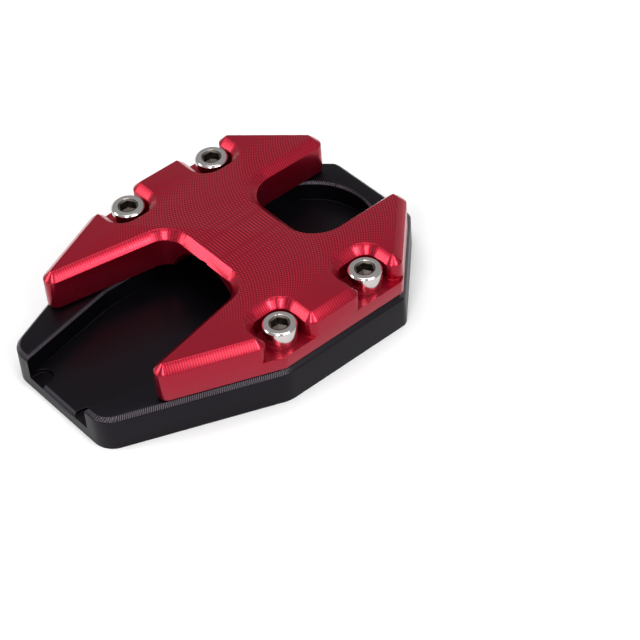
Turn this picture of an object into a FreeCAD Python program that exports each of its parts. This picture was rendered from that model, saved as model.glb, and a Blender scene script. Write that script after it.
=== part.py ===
import FreeCAD, Part
import math
import os

# Side-stand foot enlarger for a motorcycle: a pocketed base plate that goes under the stand's
# foot, an H-shaped clamp plate that goes over it, and four socket cap screws.
# +X runs to the closed end of the pocket, +Y across, +Z up. The ground face is at z = 0.

# Base plate
BASE_LENGTH = 100.8
BASE_WIDTH = 71.2
BASE_THICK = 9.8
BASE_EDGE = 1.1            # chamfer round the top edge
NOSE_WIDTH = 36.0          # width at the open end, before its corners are rounded
NOSE_RUN = 42.1            # length over which the sides widen from the open end
TAIL_CORNER = 21.5         # size of the 45 degree corners at the closed end
NOSE_RADIUS = 6.0
SHOULDER_RADIUS = 8.0
TAIL_RADIUS = 3.0

# Pocket for the stand's foot
POCKET_FLOOR = 4.2
POCKET_MOUTH_WIDTH = 23.0
POCKET_WIDTH = 34.2
POCKET_TAPER = 0.2         # widening per side and per mm from the mouth
POCKET_NECK_RADIUS = 8.0
POCKET_END_WALL = 5.1      # metal left beyond the round closed end
POCKET_EDGE = 0.7
LIP_WIDTH = 12.6           # part of the mouth that stays at floor height
LIP_CHAMFER = 0.9
RELIEF_FLOOR = 3.3
RELIEF_RUN = 2.0           # from the open end to the centre of each relief's round end

# Clamp plate, measured at its upright walls
CLAMP_THICK = 10.8
CLAMP_STEP = 0.45          # how far its sides stand inside the base's sides
BEVEL = 2.1                # chamfer round the top
FOOT_BREAK = 0.8           # bevel round the underside, a shadow gap above the base
ARM_SETBACK = 14.5         # tips of the two long arms, from the base's open end
TAIL_SETBACK = 4.4         # tips of the two short arms, from the base's closed end
BRIDGE_X = (-4.0, 19.2)    # walls of the bridge that crosses the pocket
LEG_GRIP = 3.45            # overhang of the arms over the pocket's edge, at the bridge
ARM_TIP_FLAT = 0.19        # flat left across the top at the tip of each long arm
LEG_SLOT_RADIUS = 5.9
TOE_GRIP = 3.9
TOE_SLOT_RADIUS = 7.9
TOE_TIP_FLAT = 0.2         # least flat left across the top at the tip of each short arm
CREST = 0.3                # radius left at each pointed corner of the top
TUNNEL_RADIUS = 13.4       # arch under the bridge
TUNNEL_COVER = 2.0         # metal left over the arch

# M5 x 12 socket head cap screws
SHANK_D = 5.0
SHANK_LENGTH = 12.0
TIP_CHAMFER = 0.6
HEAD_D = 8.5
HEAD_HEIGHT = 5.0
HEAD_EDGE = 0.45
SOCKET_AF = 4.0
SOCKET_DEPTH = 2.6
DRILL_POINT = 1.0          # cone at the bottom of the socket
SCREW_X = (-4.85, 21.9)
SCREW_MARGIN = 6.2         # screw axis to the base's side
THREAD_CLEARANCE = 0.1     # on the diameter, in the base
SHANK_CLEARANCE = 0.6      # on the diameter, in the clamp plate

# Notches in the clamp plate, with the gap from each wall to the screw head
SEAT_HEIGHT = 4.4          # metal under the screw head
NOTCH_GAP_BACK = 1.75      # toward the open end
NOTCH_GAP_FRONT = 0.45
NOTCH_GAP_INNER = 0.65
NOTCH_RADIUS = 3.5

CLAMP_TOP = BASE_THICK + CLAMP_THICK
POINT_RADIUS = BEVEL + CREST
SEAT_Z = BASE_THICK + SEAT_HEIGHT
SCREW_Y = BASE_WIDTH / 2 - SCREW_MARGIN

V = FreeCAD.Vector


def both_sides(half):
    """Closed anticlockwise corner list from the +Y half, given from -X to +X."""
    return [(x, -y, r) for x, y, r in half] + list(reversed(half))


def moved_corners(corners, grow):
    """Corners after every edge has moved outward by grow, with the directions and turn at each."""
    n = len(corners)
    lines = []
    for i in range(n):
        x0, y0, _ = corners[i]
        x1, y1, _ = corners[(i + 1) % n]
        size = math.hypot(x1 - x0, y1 - y0)
        dx, dy = (x1 - x0) / size, (y1 - y0) / size
        lines.append((x0 + dy * grow, y0 - dx * grow, dx, dy))
    out = []
    for i in range(n):
        ax, ay, adx, ady = lines[i - 1]
        bx, by, bdx, bdy = lines[i]
        cross = adx * bdy - ady * bdx
        s = ((bx - ax) * bdy - (by - ay) * bdx) / cross
        turn = math.atan2(cross, adx * bdx + ady * bdy)
        radius = corners[i][2] + (grow if cross > 0 else -grow)
        out.append((ax + adx * s, ay + ady * s, (adx, ady), (bdx, bdy), turn, radius))
    return out


def outline(corners, grow, z):
    """Closed wire with rounded corners at height z."""
    edges = []
    last = None
    first = None
    for x, y, before, after, turn, radius in moved_corners(corners, grow):
        cut = abs(radius * math.tan(turn / 2)) if radius > 0 else 0.0
        start = V(x - before[0] * cut, y - before[1] * cut, z)
        end = V(x + after[0] * cut, y + after[1] * cut, z)
        if last is not None and last.distanceToPoint(start) > 1e-6:
            edges.append(Part.makeLine(last, start))
        if cut:
            side = V(after[0] - before[0], after[1] - before[1], 0).normalize()
            reach = radius / math.cos(turn / 2) - radius
            edges.append(Part.Arc(start, V(x, y, z) + side * reach, end).toShape())
        first = first or start
        last = end
    if last.distanceToPoint(first) > 1e-6:
        edges.append(Part.makeLine(last, first))
    return Part.Wire(edges)


def slab(corners, grow, z0, z1):
    return Part.Face(outline(corners, grow, z0)).extrude(V(0, 0, z1 - z0))


def chamfer_level(solid, z, size):
    """Chamfer every edge of the flat face at height z."""
    edges = [e for e in solid.Edges
             if all(abs(v.Z - z) < 1e-6 for v in e.Vertexes) and abs(e.CenterOfMass.z - z) < 1e-6]
    return solid.makeChamfer(size, edges)


def side_corners(inset):
    """Slope of the +Y side's slanting stretch, and x of its shoulder and tail, moved in by inset."""
    slope = (BASE_WIDTH - NOSE_WIDTH) / 2 / NOSE_RUN
    shoulder_x = NOSE_RUN - BASE_LENGTH / 2 + inset * (math.hypot(1, slope) - 1) / slope
    tail_x = BASE_LENGTH / 2 - TAIL_CORNER - inset * (math.sqrt(2) - 1)
    return slope, shoulder_x, tail_x


def side_slope(x, inset):
    slope, shoulder_x, tail_x = side_corners(inset)
    return slope if x < shoulder_x else -1.0 if x > tail_x else 0.0


def side_y(x, inset):
    """Where the +Y side of the base's outline is at x, moved in by inset."""
    slope, shoulder_x, tail_x = side_corners(inset)
    return BASE_WIDTH / 2 - inset - slope * max(shoulder_x - x, 0) - max(x - tail_x, 0)


def base_outline():
    _, shoulder_x, tail_x = side_corners(0.0)
    stations = [(-BASE_LENGTH / 2, NOSE_RADIUS), (shoulder_x, SHOULDER_RADIUS),
                (tail_x, TAIL_RADIUS), (BASE_LENGTH / 2, TAIL_RADIUS)]
    return both_sides([(x, side_y(x, 0.0), radius) for x, radius in stations])


def pocket_outline():
    """The pocket runs on past the open end, so that its mouth is cut clean."""
    mouth, full = POCKET_MOUTH_WIDTH / 2, POCKET_WIDTH / 2
    end, past = BASE_LENGTH / 2, 10.0
    return both_sides([(-end - past, mouth - POCKET_TAPER * past, 0.0),
                       (-end + (full - mouth) / POCKET_TAPER, full, POCKET_NECK_RADIUS),
                       (end - POCKET_END_WALL, full, full)])


def mouth_reliefs():
    """Shallow reliefs beside the lip, one against each wall of the mouth."""
    inner, outer = LIP_WIDTH / 2, POCKET_MOUTH_WIDTH / 2
    middle, radius = (inner + outer) / 2, (outer - inner) / 2
    start, round_x = -BASE_LENGTH / 2 - 2.0, -BASE_LENGTH / 2 + RELIEF_RUN
    depth = POCKET_FLOOR - RELIEF_FLOOR + 1.0
    cuts = []
    for side in (-1, 1):
        box = Part.makeBox(round_x - start, 2 * radius, depth,
                           V(start, side * middle - radius, RELIEF_FLOOR))
        cuts.append(box.fuse(Part.makeCylinder(radius, depth, V(round_x, side * middle, RELIEF_FLOOR))))
    return cuts


def lip_chamfer():
    x, z, c = -BASE_LENGTH / 2, POCKET_FLOOR, LIP_CHAMFER
    half = LIP_WIDTH / 2
    points = [V(x - 1, -half, z - c - 1), V(x + c + 1, -half, z + 1), V(x - 1, -half, z + 1)]
    return Part.Face(Part.makePolygon(points + points[:1])).extrude(V(0, LIP_WIDTH, 0))


def screw_axes():
    return [(x, side * SCREW_Y) for side in (-1, 1) for x in SCREW_X]


def base_plate():
    plate = chamfer_level(slab(base_outline(), 0.0, 0.0, BASE_THICK), BASE_THICK, BASE_EDGE)
    pocket = pocket_outline()
    plate = plate.cut(slab(pocket, 0.0, POCKET_FLOOR, BASE_THICK + 1))
    rim = Part.makeLoft([outline(pocket, 0.0, BASE_THICK - POCKET_EDGE),
                         outline(pocket, POCKET_EDGE + 0.5, BASE_THICK + 0.5)], True, True)
    plate = plate.cut(rim).cut(mouth_reliefs()).cut(lip_chamfer())
    radius = (SHANK_D + THREAD_CLEARANCE) / 2
    holes = [Part.makeCylinder(radius, BASE_THICK + 2, V(x, y, -1)) for x, y in screw_axes()]
    return plate.cut(holes)


def leg_slot_mouth(leg, tip_x):
    """Half width of the leg slot at the long arms' tips, found from the flat left on each tip."""
    side = side_y(tip_x, CLAMP_STEP)
    slope = side_slope(tip_x, CLAMP_STEP)
    mouth = leg
    for _ in range(12):
        taper = (mouth - leg) / (BRIDGE_X[0] - tip_x)
        corners = math.hypot(1, slope) - slope + math.hypot(1, taper) - taper
        mouth = side - ARM_TIP_FLAT - POINT_RADIUS * corners
    return mouth


def short_tip_x(toe):
    """The short arms end at their setback, or sooner if the base's corner would leave them no flat."""
    corner_x = side_corners(CLAMP_STEP)[2]
    width = TOE_TIP_FLAT + POINT_RADIUS * math.sqrt(2)
    return min(BASE_LENGTH / 2 - TAIL_SETBACK, corner_x + BASE_WIDTH / 2 - CLAMP_STEP - toe - width)


def clamp_outline(side_points):
    """The clamp's walls, with the points given between the tips of its outer side."""
    leg = POCKET_WIDTH / 2 - LEG_GRIP
    toe = POCKET_WIDTH / 2 - TOE_GRIP
    tip_x = ARM_SETBACK - BASE_LENGTH / 2
    tail_x = short_tip_x(toe)
    return both_sides(
        [(BRIDGE_X[0], leg, LEG_SLOT_RADIUS),
         (tip_x, leg_slot_mouth(leg, tip_x), POINT_RADIUS),
         (tip_x, side_y(tip_x, CLAMP_STEP), POINT_RADIUS)]
        + side_points
        + [(tail_x, side_y(tail_x, CLAMP_STEP), POINT_RADIUS), (tail_x, toe, POINT_RADIUS),
           (BRIDGE_X[1], toe, TOE_SLOT_RADIUS)])


def plain_outline():
    """Below the screw seats the outer side runs straight past them."""
    _, shoulder_x, tail_x = side_corners(CLAMP_STEP)
    return clamp_outline([(x, side_y(x, CLAMP_STEP), POINT_RADIUS) for x in (shoulder_x, tail_x)])


def notch_corner(wall_x, top_x):
    """Where a notch wall meets the stretch of the side that the flat top meets at top_x."""
    inset = CLAMP_STEP + BEVEL
    slope = side_slope(top_x, inset)
    y = side_y(top_x, inset) + slope * (wall_x - top_x) + BEVEL * math.hypot(1, slope)
    return wall_x, y, POINT_RADIUS


def notched_outline():
    """Above the seats the outer side steps in round each screw head."""
    head = HEAD_D / 2
    inner = SCREW_Y - head - NOTCH_GAP_INNER
    points = []
    for x in SCREW_X:
        back = x - head - NOTCH_GAP_BACK
        front = x + head + NOTCH_GAP_FRONT
        points += [notch_corner(back, back - BEVEL), (back, inner, NOTCH_RADIUS),
                   (front, inner, NOTCH_RADIUS), notch_corner(front, front + BEVEL)]
    return clamp_outline(points)


def clamp_plate():
    lower = chamfer_level(slab(plain_outline(), 0.0, BASE_THICK, SEAT_Z), BASE_THICK, FOOT_BREAK)
    upper = chamfer_level(slab(notched_outline(), 0.0, SEAT_Z, CLAMP_TOP), CLAMP_TOP, BEVEL)
    run = BRIDGE_X[1] - BRIDGE_X[0] + 2 * BEVEL
    tunnel = Part.makeCylinder(TUNNEL_RADIUS, run,
                               V(BRIDGE_X[0] - BEVEL, 0, CLAMP_TOP - TUNNEL_COVER - TUNNEL_RADIUS),
                               V(1, 0, 0))
    radius = (SHANK_D + SHANK_CLEARANCE) / 2
    holes = [Part.makeCylinder(radius, SEAT_HEIGHT + 2, V(x, y, BASE_THICK - 1))
             for x, y in screw_axes()]
    return lower.fuse(upper).cut([tunnel] + holes).removeSplitter()


def hexagon(across_flats, z):
    r = across_flats / math.sqrt(3)
    points = [V(r * math.cos(math.radians(60 * i)), r * math.sin(math.radians(60 * i)), z)
              for i in range(7)]
    return Part.Face(Part.makePolygon(points))


def cap_screw(x, y):
    """Head down on its seat, axis vertical."""
    top, tip = SEAT_Z + HEAD_HEIGHT, SEAT_Z - SHANK_LENGTH
    profile = [V(0, 0, tip), V(SHANK_D / 2 - TIP_CHAMFER, 0, tip),
               V(SHANK_D / 2, 0, tip + TIP_CHAMFER), V(SHANK_D / 2, 0, SEAT_Z),
               V(HEAD_D / 2, 0, SEAT_Z), V(HEAD_D / 2, 0, top - HEAD_EDGE),
               V(HEAD_D / 2 - HEAD_EDGE, 0, top), V(0, 0, top)]
    body = Part.Face(Part.makePolygon(profile + profile[:1])).revolve(V(0, 0, 0), V(0, 0, 1), 360)
    socket = hexagon(SOCKET_AF, top - SOCKET_DEPTH).extrude(V(0, 0, SOCKET_DEPTH + 1))
    drill = Part.makeCone(0.0, SOCKET_AF / 2, DRILL_POINT, V(0, 0, top - SOCKET_DEPTH - DRILL_POINT))
    screw = body.cut([socket, drill])
    screw.translate(V(x, y, 0))
    return screw


parts = {"base_plate": base_plate(), "clamp_plate": clamp_plate()}
for name, (sx, sy) in zip(("screw_near_open", "screw_near_closed", "screw_far_open", "screw_far_closed"),
                          screw_axes()):
    parts[name] = cap_screw(sx, sy)

os.makedirs("parts", exist_ok=True)
for name, shape in parts.items():
    shape.exportStep("parts/" + name + ".step")
    print(name, shape.isValid(), len(shape.Solids), round(shape.Volume, 1))
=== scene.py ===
import math

import bmesh
import bpy
from mathutils import Matrix, Vector


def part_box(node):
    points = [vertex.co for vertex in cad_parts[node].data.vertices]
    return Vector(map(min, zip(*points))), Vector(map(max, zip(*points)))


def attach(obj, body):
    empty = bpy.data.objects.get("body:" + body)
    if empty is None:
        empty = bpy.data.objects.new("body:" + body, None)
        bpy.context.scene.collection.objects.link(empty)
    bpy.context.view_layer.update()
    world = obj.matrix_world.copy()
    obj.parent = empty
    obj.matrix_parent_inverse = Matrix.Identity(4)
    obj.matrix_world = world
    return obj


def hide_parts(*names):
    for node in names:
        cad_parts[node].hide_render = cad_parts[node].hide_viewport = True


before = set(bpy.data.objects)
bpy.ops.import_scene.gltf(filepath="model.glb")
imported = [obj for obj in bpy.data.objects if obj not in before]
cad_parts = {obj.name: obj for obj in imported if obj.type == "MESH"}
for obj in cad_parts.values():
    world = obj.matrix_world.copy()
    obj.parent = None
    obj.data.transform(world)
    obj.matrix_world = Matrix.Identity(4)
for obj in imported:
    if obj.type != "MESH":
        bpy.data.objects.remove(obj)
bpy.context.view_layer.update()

# The enlarger lies on its ground face, as it would on a bench.
MM = 0.001


# Camera: a long lens from above the open end of the pocket, turned a little about its own axis.
CAMERA_AZIMUTH = math.radians(-37.33)
CAMERA_ELEVATION = math.radians(43.88)
CAMERA_ROLL = math.radians(-5.01)
CAMERA_PLACE = Vector((-223.44, -331.73, 377.52)) * MM
CAMERA_LENS = 124.425
CAMERA_SENSOR = 36.0
CAMERA_NEAR, CAMERA_FAR = 0.01, 20

back = Vector((math.sin(CAMERA_AZIMUTH) * math.cos(CAMERA_ELEVATION),
               -math.cos(CAMERA_AZIMUTH) * math.cos(CAMERA_ELEVATION),
               math.sin(CAMERA_ELEVATION)))
level = Vector((math.cos(CAMERA_AZIMUTH), math.sin(CAMERA_AZIMUTH), 0))
upward = back.cross(level)
camera_x = math.cos(CAMERA_ROLL) * level + math.sin(CAMERA_ROLL) * upward
camera_y = math.cos(CAMERA_ROLL) * upward - math.sin(CAMERA_ROLL) * level
camera = bpy.data.objects.new("camera", bpy.data.cameras.new("camera"))
bpy.context.scene.collection.objects.link(camera)
turned = Matrix((camera_x, camera_y, back)).transposed()
camera.matrix_world = Matrix.Translation(CAMERA_PLACE) @ turned.to_4x4()
camera.data.lens = CAMERA_LENS
camera.data.sensor_width = CAMERA_SENSOR
camera.data.clip_start = CAMERA_NEAR
camera.data.clip_end = CAMERA_FAR
bpy.context.scene.camera = camera
bpy.context.scene.view_settings.view_transform = "Standard"


# Bench and soft studio light: a white floor in an even white room, two small soft lights in front
# and one at the left for the bevels, a low one behind the open end, and a large one above.
FLOOR_SPAN = 6.0
FLOOR_COLOUR = "FCFCFC"
ROOM_LIGHT = 0.47


def to_linear(colour):
    """Linear RGBA of an sRGB hex colour."""
    parts = [int(colour[i:i + 2], 16) / 255 for i in (0, 2, 4)]
    return [c / 12.92 if c <= 0.04045 else ((c + 0.055) / 1.055) ** 2.4 for c in parts] + [1.0]


def add_node(tree, kind, inputs=None, **settings):
    """Adds a node, with its settings, and its inputs as numbers, colours or other nodes' outputs."""
    node = tree.nodes.new("ShaderNode" + kind)
    for name, value in settings.items():
        setattr(node, name, value)
    for name, value in (inputs or {}).items():
        if isinstance(value, bpy.types.NodeSocket):
            tree.links.new(value, node.inputs[name])
        else:
            node.inputs[name].default_value = value
    return node


def new_material(name):
    """An empty material with its node tree and output node."""
    material = bpy.data.materials.new(name)
    material.use_nodes = True
    material.node_tree.nodes.clear()
    return material, material.node_tree, add_node(material.node_tree, "OutputMaterial")


def soft_light(name, place, size, power):
    """A square soft light, aimed at the middle of the object."""
    lamp = bpy.data.lights.new(name, "AREA")
    lamp.shape, lamp.size, lamp.energy = "SQUARE", size, power
    light = bpy.data.objects.new(name, lamp)
    bpy.context.scene.collection.objects.link(light)
    aim = Vector(place)
    light.matrix_world = Matrix.Translation(aim) @ aim.to_track_quat("Z", "Y").to_matrix().to_4x4()


floor_mesh = bmesh.new()
bmesh.ops.create_grid(floor_mesh, x_segments=1, y_segments=1, size=FLOOR_SPAN / 2)
floor = bpy.data.objects.new("floor", bpy.data.meshes.new("floor"))
floor_mesh.to_mesh(floor.data)
floor_mesh.free()
bpy.context.scene.collection.objects.link(floor)
paper, tree, output = new_material("white_paper_sweep")
sheen = add_node(tree, "BsdfPrincipled", {"Base Color": to_linear(FLOOR_COLOUR), "Roughness": 0.9,
                                         "Specular IOR Level": 0.1})
tree.links.new(sheen.outputs[0], output.inputs["Surface"])
floor.data.materials.append(paper)

world = bpy.data.worlds.new("studio")
world.use_nodes = True
world.node_tree.nodes["Background"].inputs["Color"].default_value = (1, 1, 1, 1)
world.node_tree.nodes["Background"].inputs["Strength"].default_value = ROOM_LIGHT
bpy.context.scene.world = world
soft_light("front_right_softbox", (0.17, -0.74, 0.65), 0.20, 2.2)
soft_light("front_left_softbox", (-0.10, -0.72, 0.68), 0.26, 0.9)
soft_light("left_softbox", (-0.56, -0.42, 0.71), 0.22, 2.2)
soft_light("back_left_softbox", (-0.72, 0.58, 0.44), 0.35, 2.4)
soft_light("overhead_softbox", (0.0, 0.0, 1.10), 0.70, 4.6)


# Base plate: a thick aluminium plate, milled from the solid, with a deep pocket for the stand's
# foot, then black anodised. Its sharp edges are broken, and the mill's feed marks show as fine
# strokes across the chamfer round its top, painted lighter grey as a highlight, strongest on the
# slanting sides.
BASE_BREAK = 0.12 * MM
MERGE_WITHIN = 0.002 * MM
FLAT_UNDER = math.radians(0.4)     # faces that meet at less than this become one
BREAK_OVER = math.radians(20)      # edges sharper than this are broken
POINT_UNDER = math.radians(30)     # edges that meet closer than this run out in a point
CREASE_OVER = math.radians(17)     # faces that meet at more than this are shaded apart
ANODISE_BLACK = "040305"
ANODISE_GLINT = "F4E8FF"
# painted highlight: the lighter grey of the mill strokes
STROKE_HIGHLIGHT_GREY = "686066"
STROKE_PITCH = 0.35 * MM
STROKE_LEAN = 0.4                  # how far a stroke leans along the edge, for its height
STROKE_WANDER = 1.5 * MM
SHOULDER_X, TAIL_X, CORNER_Y = -7.0 * MM, 27.7 * MM, 27.6 * MM    # near the plate's corners
CORNERS_MID = 10 * MM              # between the shoulders and the tail corners
FINISH_MARK = 0.35 * MM
BLACK_PATCH = 12 * MM
CHAMFER_NZ = 0.707                 # upward part of the normal of a 45 degree face


def broken_edges(node, name, width):
    """A copy of a plate's solid with its sharp edges rounded, except where one runs out in a point."""
    bm = bmesh.new()
    bm.from_mesh(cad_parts[node].data)
    bmesh.ops.remove_doubles(bm, verts=bm.verts, dist=MERGE_WITHIN)
    bmesh.ops.dissolve_limit(bm, angle_limit=FLAT_UNDER, verts=bm.verts, edges=bm.edges)
    sharp = [e for e in bm.edges if e.calc_face_angle() > BREAK_OVER]
    for vert in bm.verts:
        ways = [e.other_vert(vert).co - vert.co for e in vert.link_edges if e in sharp]
        vert.tag = any(a.angle(b) < POINT_UNDER for a in ways for b in ways if a is not b)
    edges = [e for e in sharp if not any(v.tag for v in e.verts)]
    bmesh.ops.bevel(bm, geom=edges, offset=width, offset_type="OFFSET", affect="EDGES", segments=2,
                    profile=0.5, material=-1, clamp_overlap=False)
    plate = bpy.data.objects.new(name, bpy.data.meshes.new(name))
    bm.to_mesh(plate.data)
    bm.free()
    plate.data.shade_smooth()
    plate.data.set_sharp_from_angle(angle=CREASE_OVER)
    bpy.context.scene.collection.objects.link(plate)
    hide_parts(node)
    return plate


base = broken_edges("base_plate", "base_plate_black", BASE_BREAK)

# Black anodised aluminium, milled: satin and nearly black, with a faint violet gloss.
black, tree, output = new_material("black_anodised_aluminium")
coords = add_node(tree, "TexCoord")
place = add_node(tree, "SeparateXYZ", {0: coords.outputs["Object"]})
true_normal = add_node(tree, "NewGeometry").outputs["True Normal"]
true_normal = add_node(tree, "VectorTransform", {0: true_normal}, vector_type="NORMAL",
                       convert_from="WORLD", convert_to="OBJECT")
facing = add_node(tree, "SeparateXYZ", {0: true_normal.outputs[0]})
x, y, z = place.outputs[0], place.outputs[1], place.outputs[2]
nx, ny, nz = facing.outputs[0], facing.outputs[1], facing.outputs[2]
# Distance along an edge, from the way its face looks, measured from near the nearest corner
half = add_node(tree, "Math", {0: x, 1: CORNERS_MID}, operation="GREATER_THAN").outputs[0]
side = add_node(tree, "Math", {0: y}, operation="SIGN").outputs[0]
x_from = add_node(tree, "Math", {0: half, 1: SHOULDER_X - TAIL_X, 2: x}, operation="MULTIPLY_ADD").outputs[0]
x_from = add_node(tree, "Math", {0: x_from, 1: SHOULDER_X}, operation="SUBTRACT").outputs[0]
y_from = add_node(tree, "Math", {0: side, 1: -CORNER_Y, 2: y}, operation="MULTIPLY_ADD").outputs[0]
ahead = add_node(tree, "Math", {0: x_from, 1: ny}, operation="MULTIPLY").outputs[0]
aside = add_node(tree, "Math", {0: y_from, 1: nx}, operation="MULTIPLY").outputs[0]
along = add_node(tree, "Math", {0: ahead, 1: aside}, operation="SUBTRACT").outputs[0]
lean = add_node(tree, "Math", {0: z, 1: STROKE_LEAN, 2: along}, operation="MULTIPLY_ADD").outputs[0]
wander = add_node(tree, "TexNoise", {"Vector": coords.outputs["Object"], "Scale": 1 / STROKE_WANDER,
                                    "Detail": 2.0})
phase = add_node(tree, "Math", {0: lean, 1: math.tau / STROKE_PITCH}, operation="MULTIPLY").outputs[0]
drift = add_node(tree, "Math", {0: wander.outputs[0], 1: 5.0, 2: phase},
                 operation="MULTIPLY_ADD").outputs[0]
wave = add_node(tree, "Math", {0: drift}, operation="SINE").outputs[0]
stroke_and_highlight = add_node(tree, "MapRange", {"Value": wave, "From Min": 0.1, "From Max": 0.9},
                  clamp=True).outputs[0]
# Strokes lie only on the chamfers, and are strong only where the side slants; their lighter grey there is a
# painted highlight
slant = add_node(tree, "Math", {0: nx, 1: ny}, operation="MULTIPLY").outputs[0]
slant = add_node(tree, "Math", {0: slant}, operation="ABSOLUTE").outputs[0]
strength = add_node(tree, "MapRange", {"Value": slant, "From Min": 0.02, "From Max": 0.14, "To Min": 0.1},
                    clamp=True).outputs[0]
steep = add_node(tree, "Math", {0: nz, 1: CHAMFER_NZ, 2: 0.12}, operation="COMPARE").outputs[0]
strength = add_node(tree, "Math", {0: strength, 1: steep}, operation="MULTIPLY").outputs[0]
stroke_and_highlight = add_node(tree, "Math", {0: stroke_and_highlight, 1: strength}, operation="MULTIPLY").outputs[0]
# Fine marks of the finishing cut on the walls and flats
grain = add_node(tree, "TexNoise", {"Vector": coords.outputs["Object"], "Scale": 1 / FINISH_MARK,
                                   "Detail": 3.0, "Roughness": 0.6})
patch = add_node(tree, "TexNoise", {"Vector": coords.outputs["Object"], "Scale": 1 / BLACK_PATCH,
                                   "Detail": 2.0})
# Painted highlight: the strokes are coloured lighter grey than the black
colour = add_node(tree, "Mix", {0: stroke_and_highlight, 6: to_linear(ANODISE_BLACK), 7: to_linear(STROKE_HIGHLIGHT_GREY)},
                  data_type="RGBA")
rough = add_node(tree, "MapRange", {"Value": patch.outputs[0], "To Min": 0.30, "To Max": 0.42}).outputs[0]
rough = add_node(tree, "Math", {0: stroke_and_highlight, 1: -0.08, 2: rough}, operation="MULTIPLY_ADD").outputs[0]
relief = add_node(tree, "Math", {0: grain.outputs[0], 1: 0.25, 2: stroke_and_highlight},
                  operation="MULTIPLY_ADD").outputs[0]
bump = add_node(tree, "Bump", {"Height": relief, "Strength": 0.35, "Distance": 0.02 * MM})
coat = add_node(tree, "BsdfPrincipled", {"Base Color": colour.outputs[2], "Roughness": rough,
                                        "IOR": 1.28, "Specular Tint": to_linear(ANODISE_GLINT),
                                        "Normal": bump.outputs[0]})
tree.links.new(coat.outputs[0], output.inputs["Surface"])
base.data.materials.append(black)
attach(base, "base")


# Clamp plate: a second plate, milled all over and red anodised, that bridges the stand's foot.
# Its flat top was faced with a wide fly cutter that ran along the middle, so the cutter's arcs
# cross as it leaves. A wide bevel with fine mill strokes across it runs round the top.
CLAMP_BREAK = 0.10 * MM
ANODISE_RED = "A60A29"
# painted shade on the upright walls
WALL_SHADED_RED = "960826"
ARC_LIGHT = "DE2C46"
ARC_DARK = "6A0417"
CUTTER_REACH = 34.0 * MM           # radius of the fly cutter's path
CUTTER_FEED = 0.8 * MM
SIDE_FADE = (20 * MM, 31 * MM)     # the arcs fade out between these distances from the middle
ARM_FADE = (-20 * MM, -6 * MM)     # and along the long arms
BEVEL_LINE = 0.45 * MM
NOTCH_MID = 8.5 * MM               # between the notches of the open and the closed end
OPEN_X, CLOSED_X = -7.5 * MM, 24.5 * MM          # near the middles of the notches and slots
SLOT_Y, NOTCH_Y = 6.5 * MM, 29.4 * MM
NOTCHES_FROM = 19 * MM             # notches lie further out than this, and slots further in
RED_PATCH = 10 * MM
FLAT_NZ, UPRIGHT_NZ = 0.97, 0.3    # upward part of a flat face's normal, and of a wall's

clamp = broken_edges("clamp_plate", "clamp_plate_red", CLAMP_BREAK)

# Red anodised aluminium, milled: dye over bright metal, so its gloss is red and it mirrors softly.
red, tree, output = new_material("red_anodised_aluminium")
coords = add_node(tree, "TexCoord")
place = add_node(tree, "SeparateXYZ", {0: coords.outputs["Object"]})
true_normal = add_node(tree, "NewGeometry").outputs["True Normal"]
true_normal = add_node(tree, "VectorTransform", {0: true_normal}, vector_type="NORMAL",
                       convert_from="WORLD", convert_to="OBJECT")
facing = add_node(tree, "SeparateXYZ", {0: true_normal.outputs[0]})
x, y = place.outputs[0], place.outputs[1]
nx, ny, nz = facing.outputs[0], facing.outputs[1], facing.outputs[2]
across = add_node(tree, "Math", {0: y, 1: y}, operation="MULTIPLY").outputs[0]
chord = add_node(tree, "Math", {0: CUTTER_REACH ** 2, 1: across}, operation="SUBTRACT").outputs[0]
chord = add_node(tree, "Math", {0: chord, 1: 0.0}, operation="MAXIMUM").outputs[0]
chord = add_node(tree, "Math", {0: chord, 1: 0.5}, operation="POWER").outputs[0]
marks = []
for way in (1.0, -1.0):
    track = add_node(tree, "Math", {0: chord, 1: way, 2: x}, operation="MULTIPLY_ADD").outputs[0]
    turn = add_node(tree, "Math", {0: track, 1: math.tau / CUTTER_FEED}, operation="MULTIPLY").outputs[0]
    marks.append(add_node(tree, "Math", {0: turn}, operation="SINE").outputs[0])
swirl = add_node(tree, "Math", {0: marks[0], 1: marks[1]}, operation="ADD").outputs[0]
far_out = add_node(tree, "Math", {0: y}, operation="ABSOLUTE").outputs[0]
fade = add_node(tree, "MapRange", {"Value": far_out, "From Min": SIDE_FADE[0], "From Max": SIDE_FADE[1],
                                   "To Min": 1.0, "To Max": 0.15},
                interpolation_type="SMOOTHSTEP").outputs[0]
flat = add_node(tree, "Math", {0: nz, 1: FLAT_NZ}, operation="GREATER_THAN").outputs[0]
fade = add_node(tree, "Math", {0: fade, 1: flat}, operation="MULTIPLY").outputs[0]
arms = add_node(tree, "MapRange", {"Value": x, "From Min": ARM_FADE[0], "From Max": ARM_FADE[1],
                                   "To Min": 0.12, "To Max": 1.0},
                interpolation_type="SMOOTHSTEP").outputs[0]
fade = add_node(tree, "Math", {0: fade, 1: arms}, operation="MULTIPLY").outputs[0]
swirl = add_node(tree, "Math", {0: swirl, 1: fade}, operation="MULTIPLY").outputs[0]
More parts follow.
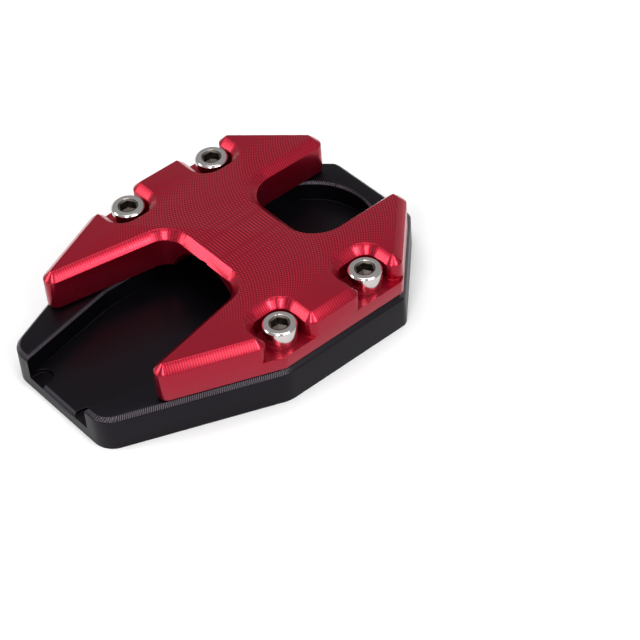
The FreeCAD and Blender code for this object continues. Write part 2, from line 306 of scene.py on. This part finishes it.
# Mill strokes run down across the bevels, and faint ones down the walls. They are spaced by the
# distance along an edge, measured from near the middle of the notch or slot that it turns round.
half = add_node(tree, "Math", {0: x, 1: NOTCH_MID}, operation="GREATER_THAN").outputs[0]
outer = add_node(tree, "Math", {0: far_out, 1: NOTCHES_FROM}, operation="GREATER_THAN").outputs[0]
side = add_node(tree, "Math", {0: y}, operation="SIGN").outputs[0]
x_from = add_node(tree, "Math", {0: half, 1: OPEN_X - CLOSED_X, 2: x}, operation="MULTIPLY_ADD").outputs[0]
x_from = add_node(tree, "Math", {0: x_from, 1: OPEN_X}, operation="SUBTRACT").outputs[0]
y_from = add_node(tree, "Math", {0: outer, 1: SLOT_Y - NOTCH_Y, 2: far_out},
                  operation="MULTIPLY_ADD").outputs[0]
y_from = add_node(tree, "Math", {0: y_from, 1: SLOT_Y}, operation="SUBTRACT").outputs[0]
y_from = add_node(tree, "Math", {0: y_from, 1: side}, operation="MULTIPLY").outputs[0]
ahead = add_node(tree, "Math", {0: x_from, 1: ny}, operation="MULTIPLY").outputs[0]
aside = add_node(tree, "Math", {0: y_from, 1: nx}, operation="MULTIPLY").outputs[0]
along = add_node(tree, "Math", {0: ahead, 1: aside}, operation="SUBTRACT").outputs[0]
turn = add_node(tree, "Math", {0: along, 1: math.tau / BEVEL_LINE}, operation="MULTIPLY").outputs[0]
lines = add_node(tree, "Math", {0: turn}, operation="SINE").outputs[0]
steep = add_node(tree, "Math", {0: nz, 1: CHAMFER_NZ, 2: 0.15}, operation="COMPARE").outputs[0]
upright = add_node(tree, "Math", {0: nz, 1: UPRIGHT_NZ}, operation="LESS_THAN").outputs[0]
steep = add_node(tree, "Math", {0: upright, 1: 0.2, 2: steep}, operation="MULTIPLY_ADD").outputs[0]
lines = add_node(tree, "Math", {0: lines, 1: steep}, operation="MULTIPLY").outputs[0]
patch = add_node(tree, "TexNoise", {"Vector": coords.outputs["Object"], "Scale": 1 / RED_PATCH,
                                   "Detail": 3.0})
relief = add_node(tree, "Math", {0: lines, 1: 0.12, 2: swirl}, operation="MULTIPLY_ADD").outputs[0]
tone = add_node(tree, "Math", {0: lines, 1: swirl}, operation="ADD").outputs[0]
tint = add_node(tree, "MapRange", {"Value": tone, "From Min": -2.0, "From Max": 2.0},
                clamp=True).outputs[0]
colour = add_node(tree, "ValToRGB", {0: tint})
ramp = colour.color_ramp.elements
ramp[0].color, ramp[0].position = to_linear(ARC_DARK), 0.0
ramp[1].color, ramp[1].position = to_linear(ARC_LIGHT), 1.0
ramp.new(0.5).color = to_linear(ANODISE_RED)
# Painted shade: the upright walls are coloured a little darker than the faces that look up
colour = add_node(tree, "Mix", {0: upright, 6: colour.outputs[0], 7: to_linear(WALL_SHADED_RED)},
                  data_type="RGBA")
rough = add_node(tree, "MapRange", {"Value": patch.outputs[0], "To Min": 0.25, "To Max": 0.31}).outputs[0]
bump = add_node(tree, "Bump", {"Height": relief, "Strength": 0.5, "Distance": 0.012 * MM})
coat = add_node(tree, "BsdfPrincipled", {"Base Color": colour.outputs[2], "Metallic": 0.8,
                                        "Roughness": rough, "Coat Weight": 0.2, "Coat Roughness": 0.15,
                                        "Normal": bump.outputs[0]})
tree.links.new(coat.outputs[0], output.inputs["Surface"])
clamp.data.materials.append(red)
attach(clamp, "clamp")


# Cap screws: four stainless M5 socket head screws, turned and thread-rolled. Each head sits on
# its seat in a notch of the clamp plate, and the thread runs down into the base plate.
ROUND_STEPS = 48
HEAD_EDGE = 0.45 * MM
HEAD_ROUND = 0.10 * MM
HEX_FLATS = 4.0 * MM
HEX_DEPTH = 2.6 * MM
HEX_MOUTH = 0.38 * MM              # countersink round the socket's mouth
DRILL_DEPTH = 1.0 * MM
THREAD_PITCH = 0.8 * MM
THREAD_ROOT = 2.05 * MM
THREAD_NECK = 0.35 * MM            # plain length under the head
TIP_CHAMFER = 0.6 * MM
THREAD_STEPS = 24
THREAD_MERGE = 0.004 * MM
FLANK_LOW, CREST_LOW, CREST_HIGH, FLANK_HIGH = 0.12, 0.44, 0.56, 0.88    # shares of the pitch
HEAD_CRISP = math.radians(30)      # edges of the head sharper than this are broken
SCREW_CREASE = math.radians(35)    # faces that meet at more than this are shaded apart
HEAD_HEIGHT = 5.0 * MM
HEAD_TOP = 19.2 * MM
SHANK_LENGTH = 12.0 * MM
CREST_RADIUS = 2.5 * MM
AXIS_X, AXIS_MID, AXIS_Y = 21.9 * MM, 8.525 * MM, 29.4 * MM
TURNING_PITCH = 0.18 * MM
SOCKET_REACH = 1.9 * MM            # half the depth of the socket, its cone included
STEEL = "C4C0BE"
# painted shade inside the hex socket
SOCKET_PAINTED_SHADE = "5E5650"
SOCKET_REACH_OUT = 2.66 * MM       # the painted shade in the socket ends at this distance from the axis
SOCKET_RIM = 0.05 * MM             # and this far below the top
STEEL_PATCH = 0.9 * MM


def grown(bm, edges, radius, height, corners=0.0):
    """Carries a loop of edges on to a radius and height, pushed out to a hexagon where corners is 1."""
    made = bmesh.ops.extrude_edge_only(bm, edges=edges)["geom"]
    for vert in [v for v in made if isinstance(v, bmesh.types.BMVert)]:
        turn = math.atan2(vert.co.y, vert.co.x)
        bulge = 1 / math.cos(turn % math.radians(60) - math.radians(30)) - 1
        reach = radius * (1 + corners * bulge)
        vert.co = (reach * math.cos(turn), reach * math.sin(turn), height)
    return [e for e in made if isinstance(e, bmesh.types.BMEdge) and e.is_boundary]


def thread(bm, length, crest):
    """A rolled thread, from the tip at -length up to the neck, open at its top."""
    turns = math.ceil(length / THREAD_PITCH) + 2
    low = -length - THREAD_PITCH
    shape = [(THREAD_ROOT, 0.0), (THREAD_ROOT, FLANK_LOW), (crest, CREST_LOW), (crest, CREST_HIGH),
             (THREAD_ROOT, FLANK_HIGH), (THREAD_ROOT, 1.0)]
    verts = [bm.verts.new((r, 0, low + up * THREAD_PITCH)) for r, up in shape]
    edges = [bm.edges.new(pair) for pair in zip(verts, verts[1:])]
    bmesh.ops.spin(bm, geom=verts + edges, cent=(0, 0, 0), axis=(0, 0, 1), angle=math.tau * turns,
                   dvec=(0, 0, THREAD_PITCH / THREAD_STEPS), steps=THREAD_STEPS * turns)
    bmesh.ops.remove_doubles(bm, verts=bm.verts, dist=THREAD_MERGE)
    for vert in bm.verts:
        limit = crest - TIP_CHAMFER + max(vert.co.z + length, 0)
        radius = vert.co.xy.length
        if radius > limit:
            vert.co.xy *= limit / radius
    for height, up in ((-THREAD_NECK, 1), (-length, -1)):
        bmesh.ops.bisect_plane(bm, geom=bm.verts[:] + bm.edges[:] + bm.faces[:], dist=1e-7,
                               plane_co=(0, 0, height), plane_no=(0, 0, up), clear_outer=True)
    tip = [e for e in bm.edges if e.is_boundary and e.verts[0].co.z < -length / 2]
    bmesh.ops.edgeloop_fill(bm, edges=tip)
    return [e for e in bm.edges if e.is_boundary]


def cap_screw(name, axis, seat, head_radius, head_height, crest, length):
    """One screw at its place, made about the origin and then moved there in its mesh."""
    bm = bmesh.new()
    neck = thread(bm, length, crest)
    made = bmesh.ops.create_circle(bm, segments=ROUND_STEPS, radius=crest)
    loop = list(dict.fromkeys(e for v in made["verts"] for e in v.link_edges))
    bmesh.ops.bridge_loops(bm, edges=neck + loop)
    flats = HEX_FLATS / 2
    for radius, height, corners in (
            (head_radius, 0.0, 0), (head_radius, head_height - HEAD_EDGE, 0),
            (head_radius - HEAD_EDGE, head_height, 0),
            (flats / math.cos(math.radians(30)) + HEX_MOUTH, head_height, 0),
            (flats, head_height - HEX_MOUTH, 1), (flats, head_height - HEX_DEPTH, 1)):
        loop = grown(bm, loop, radius, height, corners)
    cone = bmesh.ops.edgeloop_fill(bm, edges=loop)["faces"]
    point = bmesh.ops.poke(bm, faces=cone)["verts"]
    bmesh.ops.translate(bm, verts=point, vec=(0, 0, -DRILL_DEPTH))
    bmesh.ops.recalc_face_normals(bm, faces=bm.faces)
    crisp = [e for e in bm.edges if e.is_manifold and e.calc_face_angle() > HEAD_CRISP
             and e.verts[0].co.xy.length > head_radius - 2 * HEAD_EDGE]
    bmesh.ops.bevel(bm, geom=crisp, offset=HEAD_ROUND, offset_type="OFFSET", affect="EDGES", segments=2,
                    profile=0.5, material=-1)
    bmesh.ops.translate(bm, verts=bm.verts, vec=(axis.x, axis.y, seat))
    screw = bpy.data.objects.new(name, bpy.data.meshes.new(name))
    bm.to_mesh(screw.data)
    bm.free()
    screw.data.shade_smooth()
    screw.data.set_sharp_from_angle(angle=SCREW_CREASE)
    bpy.context.scene.collection.objects.link(screw)
    return screw


# Stainless steel, turned: bright, with faint rings about the axis and a duller socket, coloured darker
# inside as painted shade.
steel, tree, output = new_material("turned_stainless_steel")
coords = add_node(tree, "TexCoord")
place = add_node(tree, "SeparateXYZ", {0: coords.outputs["Object"]})
# The four axes fold on to one, to give the distance from it
from_row = add_node(tree, "Math", {0: place.outputs[1]}, operation="ABSOLUTE").outputs[0]
from_row = add_node(tree, "Math", {0: from_row, 1: AXIS_Y}, operation="SUBTRACT").outputs[0]
from_mid = add_node(tree, "Math", {0: place.outputs[0], 1: AXIS_MID}, operation="SUBTRACT").outputs[0]
from_mid = add_node(tree, "Math", {0: from_mid}, operation="ABSOLUTE").outputs[0]
from_mid = add_node(tree, "Math", {0: from_mid, 1: AXIS_X - AXIS_MID}, operation="SUBTRACT").outputs[0]
spot = add_node(tree, "CombineXYZ", {0: from_mid, 1: from_row})
distance = add_node(tree, "VectorMath", {0: spot.outputs[0]}, operation="LENGTH").outputs["Value"]
inside = add_node(tree, "Math", {0: distance, 1: SOCKET_REACH_OUT}, operation="LESS_THAN").outputs[0]
below = add_node(tree, "Math", {0: place.outputs[2], 1: HEAD_TOP - SOCKET_REACH - SOCKET_RIM,
                               2: SOCKET_REACH}, operation="COMPARE").outputs[0]
socket = add_node(tree, "Math", {0: inside, 1: below}, operation="MULTIPLY").outputs[0]
# Painted shade: the socket's hollow is coloured darker than the steel
steel_and_painted_shade = add_node(tree, "Mix", {0: socket, 6: to_linear(STEEL), 7: to_linear(SOCKET_PAINTED_SHADE)},
                 data_type="RGBA")
rings = add_node(tree, "Math", {0: distance, 1: math.tau / TURNING_PITCH}, operation="MULTIPLY").outputs[0]
rings = add_node(tree, "Math", {0: rings}, operation="SINE").outputs[0]
patch = add_node(tree, "TexNoise", {"Vector": coords.outputs["Object"], "Scale": 1 / STEEL_PATCH,
                                   "Detail": 3.0})
rough = add_node(tree, "MapRange", {"Value": patch.outputs[0], "To Min": 0.12, "To Max": 0.22}).outputs[0]
rough = add_node(tree, "Math", {0: socket, 1: 0.2, 2: rough}, operation="MULTIPLY_ADD").outputs[0]
relief = add_node(tree, "Math", {0: rings, 1: 0.2, 2: patch.outputs[0]},
                  operation="MULTIPLY_ADD").outputs[0]
bump = add_node(tree, "Bump", {"Height": relief, "Strength": 0.25, "Distance": 0.02 * MM})
metal = add_node(tree, "BsdfPrincipled", {"Base Color": steel_and_painted_shade.outputs[2], "Metallic": 1.0,
                                         "Roughness": rough, "Normal": bump.outputs[0]})
tree.links.new(metal.outputs[0], output.inputs["Surface"])

for name in ("screw_near_open", "screw_near_closed", "screw_far_open", "screw_far_closed"):
    low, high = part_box(name)
    screw = cap_screw(name + "_m5", (low + high) / 2, high.z - HEAD_HEIGHT, (high.x - low.x) / 2,
                      HEAD_HEIGHT, CREST_RADIUS, SHANK_LENGTH)
    screw.data.materials.append(steel)
    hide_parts(name)
    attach(screw, name)
